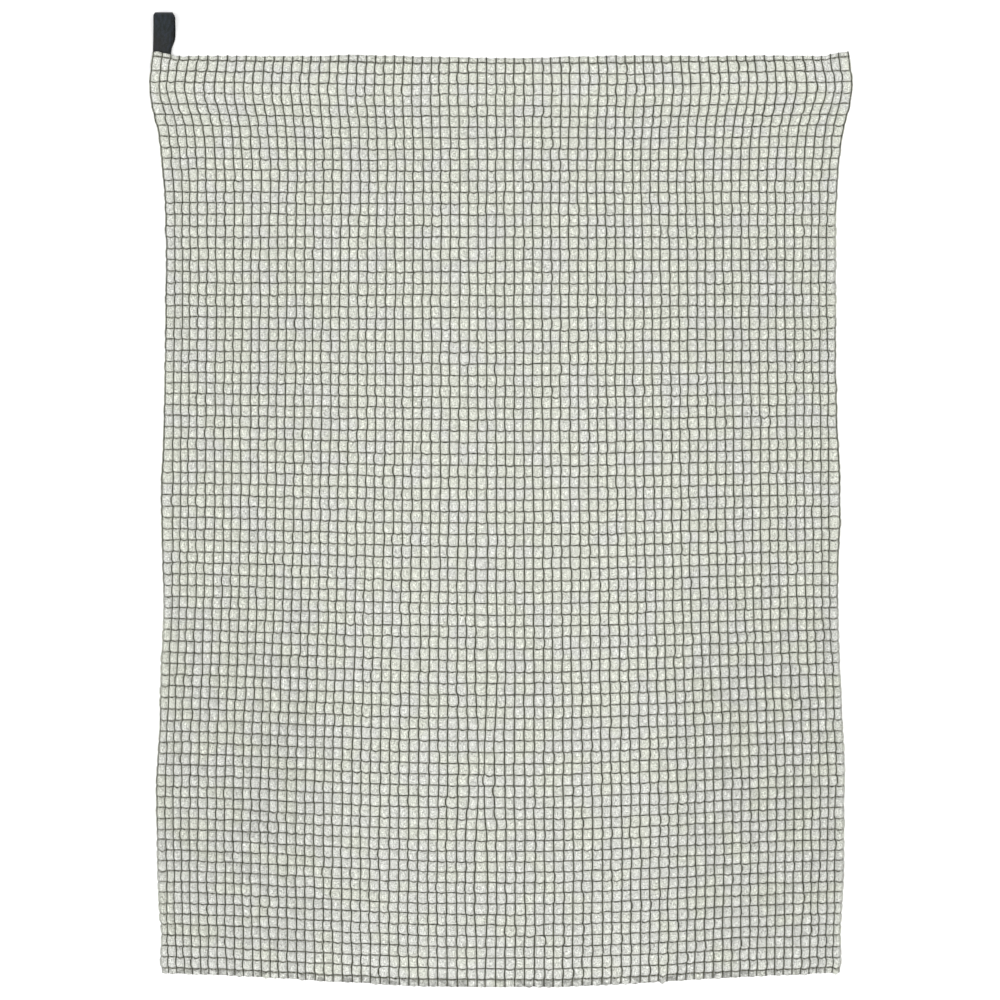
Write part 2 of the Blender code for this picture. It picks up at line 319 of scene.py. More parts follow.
def placeThreads(u, v, uneven=1.0):  # world x and y of thread coordinates
    u, v = np.broadcast_arrays(np.asarray(u, float), np.asarray(v, float))
    below = belowTop(v)
    halfWidth = softCurve(sideEdge, below / mm) * mm
    side = np.where(u < columns / 2, -1.0, 1.0)
    outside = np.clip(-u, 0, None) + np.clip(u - columns, 0, None)
    reach = fromMiddle(u, v, halfWidth) + outside / uMargin * weave["edgeMargin"]
    k, n, fu, fv = cellOf(u, v)
    low = ease((v - weave["lowScallopFrom"]) / weave["lowScallopOver"])
    scallop = (weave["scallop"] * (1 - low) + weave["lowScallop"] * low) * scallopVaries[n]
    reach = reach + uneven * outside / uMargin * scallop * scallopAt(fv)
    x = side * reach
    middle = np.clip(np.cos(np.clip(reach / halfWidth, 0, 1) * np.pi / 2), 0, 1) ** weave["bowPower"]
    bow = weave["topDip"] * np.exp(-below / weave["topDipFade"])
    bow = bow + softCurve(bowDepth, below / mm) * mm
    inCorner = reach - weave["cornerFrom"]
    corner = weave["cornerStepShare"] * ease(inCorner / weave["cornerStep"])
    inCorner = inCorner - weave["cornerStep"]
    corner = corner + (1 - weave["cornerStepShare"]) * ease(inCorner / weave["cornerWidth"])
    corner = corner * ease(1 - below / weave["cornerFade"])
    y = weave["sideTop"] - below - bow * middle + weave["cornerRise"] * corner
    y = y + softCurve(topWaver, reach / mm) * mm * ease(1 - below / weave["topWaverFade"])
    upper = ease((weave["upperDipTo"] - below) / weave["upperDipFade"])
    upper = upper * ease(below / weave["upperDipFrom"])
    y = y - softCurve(upperDip, reach / mm) * mm * upper
    first = np.exp(-(((below - weave["topMargin"]) / weave["firstDipHigh"]) ** 2))
    first = weave["firstDip"] * first * ease((weave["firstDipHalf"] - reach) / weave["firstDipFade"])
    y = y - first
    y = y - weave["lastDip"] * middle * np.clip((v - rows) / (vBottom - rows), 0, 1)
    over = np.clip(v / vTop, 0, 1) - np.clip((v - rows) / (vBottom - rows), 0, 1)
    y = y + uneven * over * weave["scallop"] * scallopAt(fu) * weave["scallopAtEnds"]
    x = x + uneven * ((1 - fu) * uprightShift(k, n, fv) + fu * uprightShift(k + 1, n, fv))
    y = y + uneven * ((1 - fv) * crossShift(k, n, fu) + fv * crossShift(k, n + 1, fu))
    return x, y


def edgeShow(side, v):  # share of the outermost thread that shows, on the left (1) or right (2)
    table = np.array(edgeThreads)
    return np.interp(v, table[:, 0], table[:, side])


# The cloth's relief

relief = {
    "valley": 1.15 * mm,  # face height at an upright thread
    "puff": 0.95 * mm,  # rise of a cell above it
    "hemPuff": 0.62,  # share of that on the hems, which the stitching flattens
    "ribRound": 0.7,  # powers that make a puff rounder than a sine, across and along
    "rowRound": 0.6,
    "rowDip": 0.5,  # share of the puff lost at a cross thread
    "lowerDip": 0.25,  # and more of it near the bottom
    "hemWidth": 29.5 * mm,
    "bottomHemWidth": 24 * mm,
    "hemStep": 2.5 * mm,
    "hemExtra": 0.6 * mm,
    "sideHem": 1.8,  # columns turned in at each side
    "sideHemStep": 0.3,
    "sideHemExtra": 0.25 * mm,
    "rim": 0.95 * mm,  # height of the face's outermost edge
    "rimOverTape": 2.35 * mm,
    "backRim": 0.45 * mm,  # and of the back's
    "backRimOverTape": 1.85 * mm,
    "rimMiddle": 0.7 * mm,  # between the two
    "back": 0.55 * mm,  # the single cloth's back, above the hems' folds at "hemBack"
    "hemBack": 0.1 * mm,
    "backHollow": 0.3 * mm,  # the thin cloth's back under a puff
    "swell": 0.12 * mm,
    "swellLength": 150 * mm,
    "creaseDepth": 0.45 * mm,
    "creaseWidth": 7 * mm,
    "creaseTopX": -2.5 * mm,
    "creaseBottomX": -13 * mm,
    "plainMiddle": 90 * mm,  # half the width over which the upper cloth lies flat, without the sides' painted shade
    "plainFade": 80 * mm,
    "sideShade": 0.045,  # painted shade: how much darker the sides are
    "sideShadeFrom": 8,  # row
    "sideShadeOver": 15,
    "lowShade": 0.08,  # and the bottom
    "lowShadeFrom": 40,
    "lowShadeOver": 20,
    "lowShadeMiddle": 0.3,  # share of that at mid width
    "innerShade": 0.1,  # and painted shade on each cell's half towards the towel's middle, as if lit from the outer side
    "hemPaintedLight": 0.03,  # painted light: how much lighter the flat hems are
    "dyedLeast": 0.1,  # share of dyed fibres beside an outermost thread that is turned under
    "dyedShown": 0.75,  # and how much more where it shows
    "dyedEdge": 0.4,  # columns that this covers
    "overTape": 0.45 * mm,  # rise of the face over the loop's two ends
    "underTape": 1.74 * mm,  # the hem's back where the loop's two ends lie under it
    "tapeSide": -243.2 * mm,
    "tapeEnd": 322.2 * mm,
    "tapeFade": 3 * mm,
    "frontMap": (0.004, 0.74),  # left edge and width in that map
    "backMap": (0.76, 0.236),
    "rimMap": (0.75, 0.006),
    "mapTop": 0.996,
    "mapHeight": 0.992,
}


def hemShare(v):  # 1 on the turned top and bottom hems
    below = belowTop(v)
    top = 1 - ease((below - relief["hemWidth"]) / relief["hemStep"])
    bottom = 1 - ease((weave["sideLength"] - below - relief["bottomHemWidth"]) / relief["hemStep"])
    return np.maximum(top, bottom)


def sideHemShare(u):  # 1 on the sides' turned hems
    return 1 - ease((np.minimum(u, columns - u) - relief["sideHem"]) / relief["sideHemStep"])


def cellPuff(u, v):  # 0 at a valley, about 1 on a cell
    k, n, fu, fv = cellOf(u, v)
    rib = np.sin(np.pi * fu) ** relief["ribRound"]
    dip = relief["rowDip"] + relief["lowerDip"] * crumpled(v)
    row = 1 - dip * (1 - np.sin(np.pi * fv) ** relief["rowRound"])
    return rib * row * puff[k, n] * (1 - (1 - relief["hemPuff"]) * hemShare(v))


def paintedCrumpleShade(u, v):  # painted shade: the crumpled sides and bottom darker, most at each cell's inner upper part, each cell's inner half darker as if lit from the outer side, and painted light on the flat hems
    k, n, fu, fv = cellOf(u, v)
    reach = np.abs(placeThreads(u, v, 0.0)[0])
    side = ease((reach - relief["plainMiddle"]) / relief["plainFade"])
    low = ease((v - relief["lowShadeFrom"]) / relief["lowShadeOver"])
    low = low * (relief["lowShadeMiddle"] + (1 - relief["lowShadeMiddle"]) * side)
    side = side * ease((v - relief["sideShadeFrom"]) / relief["sideShadeOver"])
    amount = relief["sideShade"] * side + relief["lowShade"] * low
    inner = 0.5 - outward[k, 0] * (fu - 0.5)  # 1 at the cell's side towards the middle
    amount = amount * shadeVaries[k, n] * (0.15 + 1.3 * (1 - fv) + 0.7 * (inner - 0.5))
    return amount + relief["innerShade"] * (inner - 0.62) - relief["hemPaintedLight"] * hemShare(v)


def overTape(x, y):  # 1 over the loop's two ends
    fade = relief["tapeFade"]
    return ease((relief["tapeSide"] - x) / fade + 1) * ease((y - relief["tapeEnd"]) / fade + 1)


def faceHeight(u, v):  # z of the cloth's face
    u, v = np.broadcast_arrays(np.asarray(u, float), np.asarray(v, float))
    x, y = placeThreads(u, v, 0.0)
    k, n, fu, fv = cellOf(u, v)
    inCell = cellPuff(u, v)
    z = relief["valley"] + relief["puff"] * inCell
    z = z + inCell * (leanU[k, n] * (fu - 0.5) + leanV[k, n] * (fv - 0.5)) * 2
    z = z + relief["hemExtra"] * hemShare(v) + relief["sideHemExtra"] * sideHemShare(u)
    turn = 2 * np.pi / relief["swellLength"]
    z = z + relief["swell"] * np.sin(x * turn + 0.6) * np.sin(y * turn)
    creaseX = relief["creaseTopX"] + (relief["creaseBottomX"] - relief["creaseTopX"]) * v / rows
    z = z - relief["creaseDepth"] * np.exp(-(((x - creaseX) / relief["creaseWidth"]) ** 2))
    return z + relief["overTape"] * overTape(x, y)


def backHeight(u, v):  # z of its back
    x, y = placeThreads(u, v, 0.0)
    hem = np.maximum(hemShare(v), sideHemShare(u))
    z = relief["back"] + relief["backHollow"] * cellPuff(u, v)
    z = z + (relief["hemBack"] - z) * hem
    return np.maximum(z, relief["underTape"] * overTape(x, y))


def cellStops(first, last, inCell, count, extra=()):  # where a grid is cut, edges and hem folds included
    stops = [first, 0.5 * first] + [cell + part for cell in range(count) for part in inCell]
    stops += [count, 0.5 * (count + last), last, *extra]
    return np.array(sorted(stops))


def alongMap(v):  # height of row v in the map that the looks bake to
    return relief["mapTop"] - relief["mapHeight"] * (v - vTop) / (vBottom - vTop)


def makeCloth(material):
    tapeColumns = [k + part for k in range(3) for part in (0.25, 0.75)]
    tapeRows = [n + part for n in range(2) for part in (0.25, 0.5, 0.75)]
    foldRows = [3.08, 3.3, 79.1, 79.3]  # a fold's edge stands clearly on the back
    foldColumns = [1.8, 2.08, columns - 2.08, columns - 1.8]
    grids = {
        "front": (
            cellStops(-uMargin, columns + uMargin, (0.0, 0.17, 0.5, 0.83), columns),
            cellStops(vTop, vBottom, (0.0, 0.24, 0.76), rows),
        ),
        "back": (
            cellStops(-uMargin, columns + uMargin, (0.0, 0.5), columns, tapeColumns + foldColumns),
            cellStops(vTop, vBottom, (0.0,), rows, tapeRows + foldRows),
        ),
    }
    mesh = bmesh.new()
    threads = mesh.verts.layers.float_vector.new("threads")
    shade = mesh.verts.layers.float.new("shade")
    atlas = mesh.loops.layers.uv.new("OFBake")
    for side, (us, vs) in grids.items():
        made = bmesh.ops.create_grid(mesh, x_segments=len(us) - 1, y_segments=len(vs) - 1, size=1.0)
        gridU, gridV = np.meshgrid(us, vs, indexing="ij")
        x, y = placeThreads(gridU, gridV)
        z = faceHeight(gridU, gridV) if side == "front" else backHeight(gridU, gridV)
        onRim = np.ones_like(z, bool)
        onRim[1:-1, 1:-1] = False
        tucked = overTape(*placeThreads(gridU, gridV, 0.0))[onRim]
        if side == "front":
            rim = relief["rim"] + 0.5 * relief["hemExtra"] * hemShare(gridV[onRim])
            z[onRim] = rim + (relief["rimOverTape"] - rim) * tucked
        else:
            z[onRim] = relief["backRim"] + (relief["backRimOverTape"] - relief["backRim"]) * tucked
        show = np.where(gridU < columns / 2, edgeShow(1, gridV), edgeShow(2, gridV))
        show = relief["dyedLeast"] + relief["dyedShown"] * show
        dyed = np.where(np.minimum(gridU, columns - gridU) < relief["dyedEdge"], show, 1.0)
        shaded = paintedCrumpleShade(gridU, gridV)
        for vert in made["verts"]:
            i = round((vert.co.x + 1) / 2 * (len(us) - 1))
            j = round((1 - vert.co.y) / 2 * (len(vs) - 1))
            vert.co = (x[i, j], y[i, j], z[i, j])
            vert[threads] = (us[i], vs[j], dyed[i, j])
            vert[shade] = shaded[i, j]
        made["faces"] = list({face for vert in made["verts"] for face in vert.link_faces})
        left, wide = relief["frontMap" if side == "front" else "backMap"]
        for loop in (corner for face in made["faces"] for corner in face.loops):
            across = (loop.vert[threads][0] + uMargin) / (columns + 2 * uMargin)
            loop[atlas].uv = (left + wide * across, alongMap(loop.vert[threads][1]))
        if side == "back":
            bmesh.ops.reverse_faces(mesh, faces=made["faces"])
    bridge = bmesh.ops.bridge_loops(mesh, edges=[edge for edge in mesh.edges if edge.is_boundary])
    left, wide = relief["rimMap"]
    for loop in (corner for face in bridge["faces"] for corner in face.loops):
        across = left + wide * (loop.vert.co.z > relief["rimMiddle"])
        loop[atlas].uv = (across, alongMap(loop.vert[threads][1]))
    cloth = addPiece("cloth", mesh, material)
    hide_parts("towel_cloth")
    return cloth


# Dark threads of the check, each a soft flat yarn lying in its valley

yarns = {
    "uprightHalfWidth": 0.44 * mm,
    "uprightHalfHeight": 0.2 * mm,
    "crossHalfWidth": 0.46 * mm,
    "crossHalfHeight": 0.18 * mm,
    "widthVaries": 0.22,
    "steps": 3,  # stretches in a cell
    "waver": 0.1 * mm,
    "uprightLift": 0.05 * mm,
    "uprightEndDrop": 0.3 * mm,
    "pastHem": 0.45 * mm,  # upright yarns wrap the hems' folds and stand a little past them
    "edgeLeast": 0.4,  # width of an outermost yarn that is turned under
    "edgeShown": 0.5,  # and how much wider it is where it shows
    "edgeSink": 0.7 * mm,
    "edgeSinkUnder": 0.4,  # share shown under which it starts to sink
    "crossLift": 0.05 * mm,
    "crossLiftVaries": 0.06 * mm,
    "crossDip": 0.1 * mm,  # under the upright yarns
    "crossPinch": 0.42,  # width there
    "crossSpread": 0.7,  # and how much wider a cross yarn is between them
    "crossEndDrop": 0.8 * mm,
    "lastThread": 1.25,  # how much wider the bottom hem's cross thread is
    "lastWaver": 2,
}


def tubeTemplate(steps, segments=4):  # a closed tube along z, cut into steps
    mesh = bmesh.new()
    bmesh.ops.create_cone(mesh, cap_ends=True, segments=segments, radius1=1.0, radius2=1.0, depth=1.0)
    longEdges = [edge for edge in mesh.edges if abs(edge.verts[0].co.z - edge.verts[1].co.z) > 0.5]
    bmesh.ops.subdivide_edges(mesh, edges=longEdges, cuts=steps - 1, use_grid_fill=True)
    data = bpy.data.meshes.new("tube")
    mesh.to_mesh(data)
    mesh.free()
    co = np.empty(len(data.vertices) * 3)
    data.vertices.foreach_get("co", co)
    return data, co.reshape(-1, 3)


def addTube(mesh, template, points):  # joins one more tube, moved to its own points
    mesh.from_mesh(template)
    mesh.verts.ensure_lookup_table()
    first = len(mesh.verts) - len(points)
    for i, point in enumerate(points):
        mesh.verts[first + i].co = point


def makeYarns(name, material, upright):
    count = columns + 1 if upright else rows + 1
    cells = rows if upright else columns
    halfWidth = yarns["uprightHalfWidth" if upright else "crossHalfWidth"]
    halfHeight = yarns["uprightHalfHeight" if upright else "crossHalfHeight"]
    start, end = (vTop, vBottom) if upright else (-uMargin, columns + uMargin)
    steps = yarns["steps"]
    template, co = tubeTemplate(cells * steps + 2)
    stops = np.concatenate([[start], np.arange(cells * steps + 1) / steps, [end]])
    ring = np.rint((co[:, 2] + 0.5) * (len(stops) - 1)).astype(int)
    at = stops[ring]
    turned = np.arctan2(co[:, 1], co[:, 0])
    past = np.clip(at / start, 0, 1) - np.clip((at - cells) / (end - cells), 0, 1)
    ahead = 0.01  # cells to the point that gives the yarn's direction
    mesh = bmesh.new()
    for index in range(count):
        u, v = (np.full_like(at, index), at) if upright else (at, np.full_like(at, index))
        x, y = placeThreads(u, v)
        x2, y2 = placeThreads(u, v + ahead) if upright else placeThreads(u + ahead, v)
        z = faceHeight(u, v)
        length = np.hypot(x2 - x, y2 - y)
        sideX, sideY = (y - y2) / length, (x2 - x) / length
        vary = random.normal(1.0, yarns["widthVaries"], cells * 2)
        wide = halfWidth * np.interp(at * 2, np.arange(cells * 2), vary) * np.cos(turned)
        waver = random.normal(0, yarns["waver"], len(stops))[ring]
        if upright:
            lift = yarns["uprightLift"] - yarns["uprightEndDrop"] * np.abs(past)
            y = y + yarns["pastHem"] * past
            if index in (0, columns):
                show = edgeShow(1 if index == 0 else 2, v)
                wide = wide * (yarns["edgeLeast"] + yarns["edgeShown"] * show)
                lift = lift - yarns["edgeSink"] * (1 - ease(show / yarns["edgeSinkUnder"]))
        else:
            lifts = random.normal(yarns["crossLift"], yarns["crossLiftVaries"], cells + 2)
            lift = np.interp(at, np.arange(cells + 2) - 0.5, lifts)
            lift = lift - yarns["crossDip"] * np.cos(2 * np.pi * at)
            lift = lift - yarns["crossEndDrop"] * np.abs(past)
            between = np.sin(np.pi * np.clip(at, 0, columns)) ** 2
            wide = wide * (yarns["crossPinch"] + yarns["crossSpread"] * between)
            if index == rows:
                wide, waver = wide * yarns["lastThread"], waver * yarns["lastWaver"]
        across = wide + waver
        z = z + lift + halfHeight * np.sin(turned)
        addTube(mesh, template, np.stack([x + across * sideX, y + across * sideY, z], 1))
    bpy.data.meshes.remove(template)
    piece = addPiece(name, mesh, material)
    crossing = 1 - np.clip(np.abs(at - np.rint(at)) * steps, 0, 1)  # 1 where two dark threads cross
    layer = piece.data.attributes.new("crossing", "FLOAT", "POINT")
    layer.data.foreach_set("value", np.tile(crossing, count).astype(np.float32))
    return piece


# Stitches in undyed thread: the hems' on both faces, and the box that holds the loop's ends

stitches = {
    "length": 2.7 * mm,
    "pitch": 3.2 * mm,
    "pitchVaries": 0.08 * mm,
    "radius": 0.24 * mm,
    "taper": 0.6,  # how much thinner a stitch is at its ends
    "flatter": 0.8,  # height to width
    "rise": 0.12 * mm,  # of its middle
    "sunk": 0.02 * mm,
    "underYarn": 0.3 * mm,  # lower where it passes a dark yarn
    "yarnWidth": 0.12,  # of a cell
    "backHeight": 0.11 * mm,
    "backFlatter": 0.5,
    "topLine": 27.8 * mm,
    "bottomLine": 22.4 * mm,
    "sideLine": 1.62,  # columns in from each side
    "startGap": 0.5 * mm,
    "tackPitch": 1.9 * mm,
    "tackInset": 1.8 * mm,
    "tackShare": 0.86,  # of the pitch that a stitch takes
    "tackHeight": 0.02 * mm,
}


def rowAt(below):  # thread coordinate v at a distance below the top edge
    vs = np.linspace(vTop, vBottom, 2000)
    return float(np.interp(below, belowTop(vs), vs))


def stitchTemplate():  # a short closed tube, and how thick it is along its length
    template, co = tubeTemplate(4, 5)
    return template, co, 1 - stitches["taper"] * (np.abs(co[:, 2]) * 2) ** 4


def makeHemStitches(material):
    topV = rowAt(stitches["topLine"])
    bottomV = rowAt(weave["sideLength"] - stitches["bottomLine"])
    inset = stitches["sideLine"]
    hemStart = 0.3  # columns in from the side
    lines = [((hemStart, v), (columns - hemStart, v)) for v in (topV, bottomV)]
    lines += [((u, topV), (u, bottomV)) for u in (inset, columns - inset)]
    template, co, taper = stitchTemplate()
    mesh = bmesh.new()
    for (u1, v1), (u2, v2) in lines:
        t = np.linspace(0, 1, 4000)
        us, vs = u1 + (u2 - u1) * t, v1 + (v2 - v1) * t
        x, y = placeThreads(us, vs, 0.3)
        walked = np.concatenate([[0], np.cumsum(np.hypot(np.diff(x), np.diff(y)))])
        begins = np.arange(stitches["startGap"], walked[-1] - stitches["length"], stitches["pitch"])
        for begin in begins:
            places = begin + (co[:, 2] + 0.5) * stitches["length"]
            places = places + random.normal(0, stitches["pitchVaries"])
            across = co[:, 0] * stitches["radius"] * taper
            px, py = np.interp(places, walked, x), np.interp(places, walked, y)
            pu, pv = np.interp(places, walked, us), np.interp(places, walked, vs)
            sideX, sideY = (across, 0) if u1 == u2 else (0, across)
            up = co[:, 1] * stitches["radius"] * stitches["flatter"] * taper
            bend = stitches["rise"] * (1 - (co[:, 2] * 2) ** 2)
            fromThread = np.abs(pu - np.rint(pu)) if u1 != u2 else np.abs(pv - np.rint(pv))
            under = stitches["underYarn"] * (1 - ease(fromThread / stitches["yarnWidth"]))
            z = faceHeight(pu, pv) + bend - stitches["sunk"] - under + up
            addTube(mesh, template, np.stack([px + sideX, py + sideY, z], 1))
            z = stitches["backHeight"] - bend + up * stitches["backFlatter"]
            addTube(mesh, template, np.stack([px + sideX, py + sideY, z], 1))
    bpy.data.meshes.remove(template)
    return addPiece("hemStitches", mesh, material)


# Hanging loop

tape = {
    "width": 15.0 * mm,
    "thick": 0.7 * mm,
    "gap": 0.3 * mm,
    "top": 365.0 * mm,
    "tuck": 322.6 * mm,
    "mouth": 337.5 * mm,  # where the legs come out from under the hem
    "x": -253.2 * mm,  # the tape's middle
    "foldRadius": 3.6 * mm,
    "foldShift": 1.0 * mm,
    "backBulge": 1.3 * mm,  # the rear leg swings out past the front one
    "bulgeFull": 0.42,  # share of the leg at which it is full
    "bulgeEases": 0.5,  # and from which it eases again
    "bulgeKept": 0.55,  # share of it at the fold
    "gathered": 1.6 * mm,  # from the right, where it is sewn in
    "gatherFrom": 344.5 * mm,
    "gatherTo": 334.3 * mm,
    "legHollow": 0.12,  # how much the front leg sags below straight
    "foldNarrower": 1.2 * mm,
    "mapWidth": 0.17,  # its width as a share of its length
    "steps": 96,
    "acrossSteps": 12,
}


def tapePath(t):  # sideways shift, y and z at a share of the tape's length
    lowZ = tape["thick"] / 2
    highZ = lowZ + tape["thick"] + tape["gap"]
    radius = tape["foldRadius"]
    centreY = tape["top"] - radius - tape["thick"] / 2
    centreZ = lowZ + radius
    run = centreY - tape["mouth"]
    lean = math.atan2(2 * radius - (highZ - lowZ), run)
    turned = math.pi + lean
    tucked = tape["mouth"] - tape["tuck"]
    arc = radius * turned
    slope = run / math.cos(lean)
    lengths = [tucked, run, arc, slope, tucked]
    distance = t * sum(lengths)
    for part, length in enumerate(lengths):
        if distance <= length or part == 4:
            break
        distance -= length
    share = min(distance / length, 1.0)
    if part == 0:
        return 0.0, tape["tuck"] + tucked * share, lowZ
    if part == 1:
        eased = ease((share - tape["bulgeEases"]) / (1 - tape["bulgeEases"]))
        kept = 1 - (1 - tape["bulgeKept"]) * eased
        bulge = tape["backBulge"] * ease(share / tape["bulgeFull"]) * kept
        return tape["foldShift"] * share + bulge, tape["mouth"] + run * share, lowZ
    angle = -math.pi / 2 + turned * (share if part == 2 else 1.0)
    leaveY = centreY + radius * math.cos(angle)
    leaveZ = centreZ + radius * math.sin(angle)
    if part == 2:
        bulge = tape["backBulge"] * tape["bulgeKept"] * (1 - share) ** 2
        return tape["foldShift"] + bulge, leaveY, leaveZ
    if part == 3:
        fall = share + tape["legHollow"] * math.sin(share * math.pi)
        y = leaveY + (tape["mouth"] - leaveY) * share
        return tape["foldShift"] * (1 - share), y, leaveZ + (highZ - leaveZ) * fall
    return 0.0, tape["mouth"] - tucked * share, highZ


def makeTape(material):
    mesh = bmesh.new()
    made = bmesh.ops.create_grid(mesh, x_segments=tape["acrossSteps"], y_segments=tape["steps"], size=1.0)
    weaveMap = mesh.loops.layers.uv.new("tapeWeave")
    foldStart = tape["top"] - tape["foldRadius"] - tape["thick"] / 2
    flat = {}
    for vert in made["verts"]:
        across, t = vert.co.x, (vert.co.y + 1) / 2
        x, y, z = tapePath(t)
        drawnIn = tape["foldNarrower"] * ease((y - foldStart) / tape["foldRadius"]) ** 2
        down = min(max((tape["gatherFrom"] - y) / (tape["gatherFrom"] - tape["gatherTo"]), 0), 1)
        gathered = tape["gathered"] * down * (across + 1) / 2
        flat[vert.index] = (across, t)
        vert.co = (tape["x"] + x + across * (tape["width"] / 2 - drawnIn) - gathered, y, z)
    for face in mesh.faces:
        for loop in face.loops:
            across, t = flat[loop.vert.index]
            loop[weaveMap].uv = (0.5 + 0.5 * across * tape["mapWidth"], t)
    piece = addPiece("loopTape", mesh, material)
    solid = piece.modifiers.new("thickness", "SOLIDIFY")
    solid.thickness = tape["thick"]
    solid.offset = 0.0
    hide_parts("hanging_loop")
    return piece


def makeTack(material):  # a box of stitches on the back, through the tape's end
    template, co, taper = stitchTemplate()
    half = tape["width"] / 2 - stitches["tackInset"]
    low, high = tape["tuck"] + stitches["tackInset"], weave["sideTop"] - stitches["tackInset"]
    box = [(-half, low), (half, low), (half, high), (-half, high), (-half, low), (half, high)]
    mesh = bmesh.new()
    for (x1, y1), (x2, y2) in zip(box[:-1], box[1:]):
        length = math.hypot(x2 - x1, y2 - y1)
        count = round(length / stitches["tackPitch"])
        alongX, alongY = (x2 - x1) / length, (y2 - y1) / length
        for step in range(count):
            places = (step + 0.5 + co[:, 2] * stitches["tackShare"]) * length / count
            across = co[:, 0] * stitches["radius"] * taper
            z = stitches["tackHeight"] + co[:, 1] * stitches["radius"] * stitches["backFlatter"] * taper
            x = tape["x"] + x1 + alongX * places - alongY * across
            addTube(mesh, template, np.stack([x, y1 + alongY * places + alongX * across, z], 1))
    bpy.data.meshes.remove(template)
    return addPiece("loopTack", mesh, material)


# Materials

def rampColours(node, *stops):  # (place, hex) pairs
    ramp = node.color_ramp
    for i, (place, code) in enumerate(stops):
        element = ramp.elements[i] if i < 2 else ramp.elements.new(place)
        element.position = place
        element.color = hexColour(code)


def dressShader(material, shader, colour, bump=None):  # what the shader takes from the pattern's nodes
    links = material.node_tree.links
    links.new(colour, shader.inputs["Base Color"])
    if bump:
        links.new(bump.outputs[0], shader.inputs["Normal"])


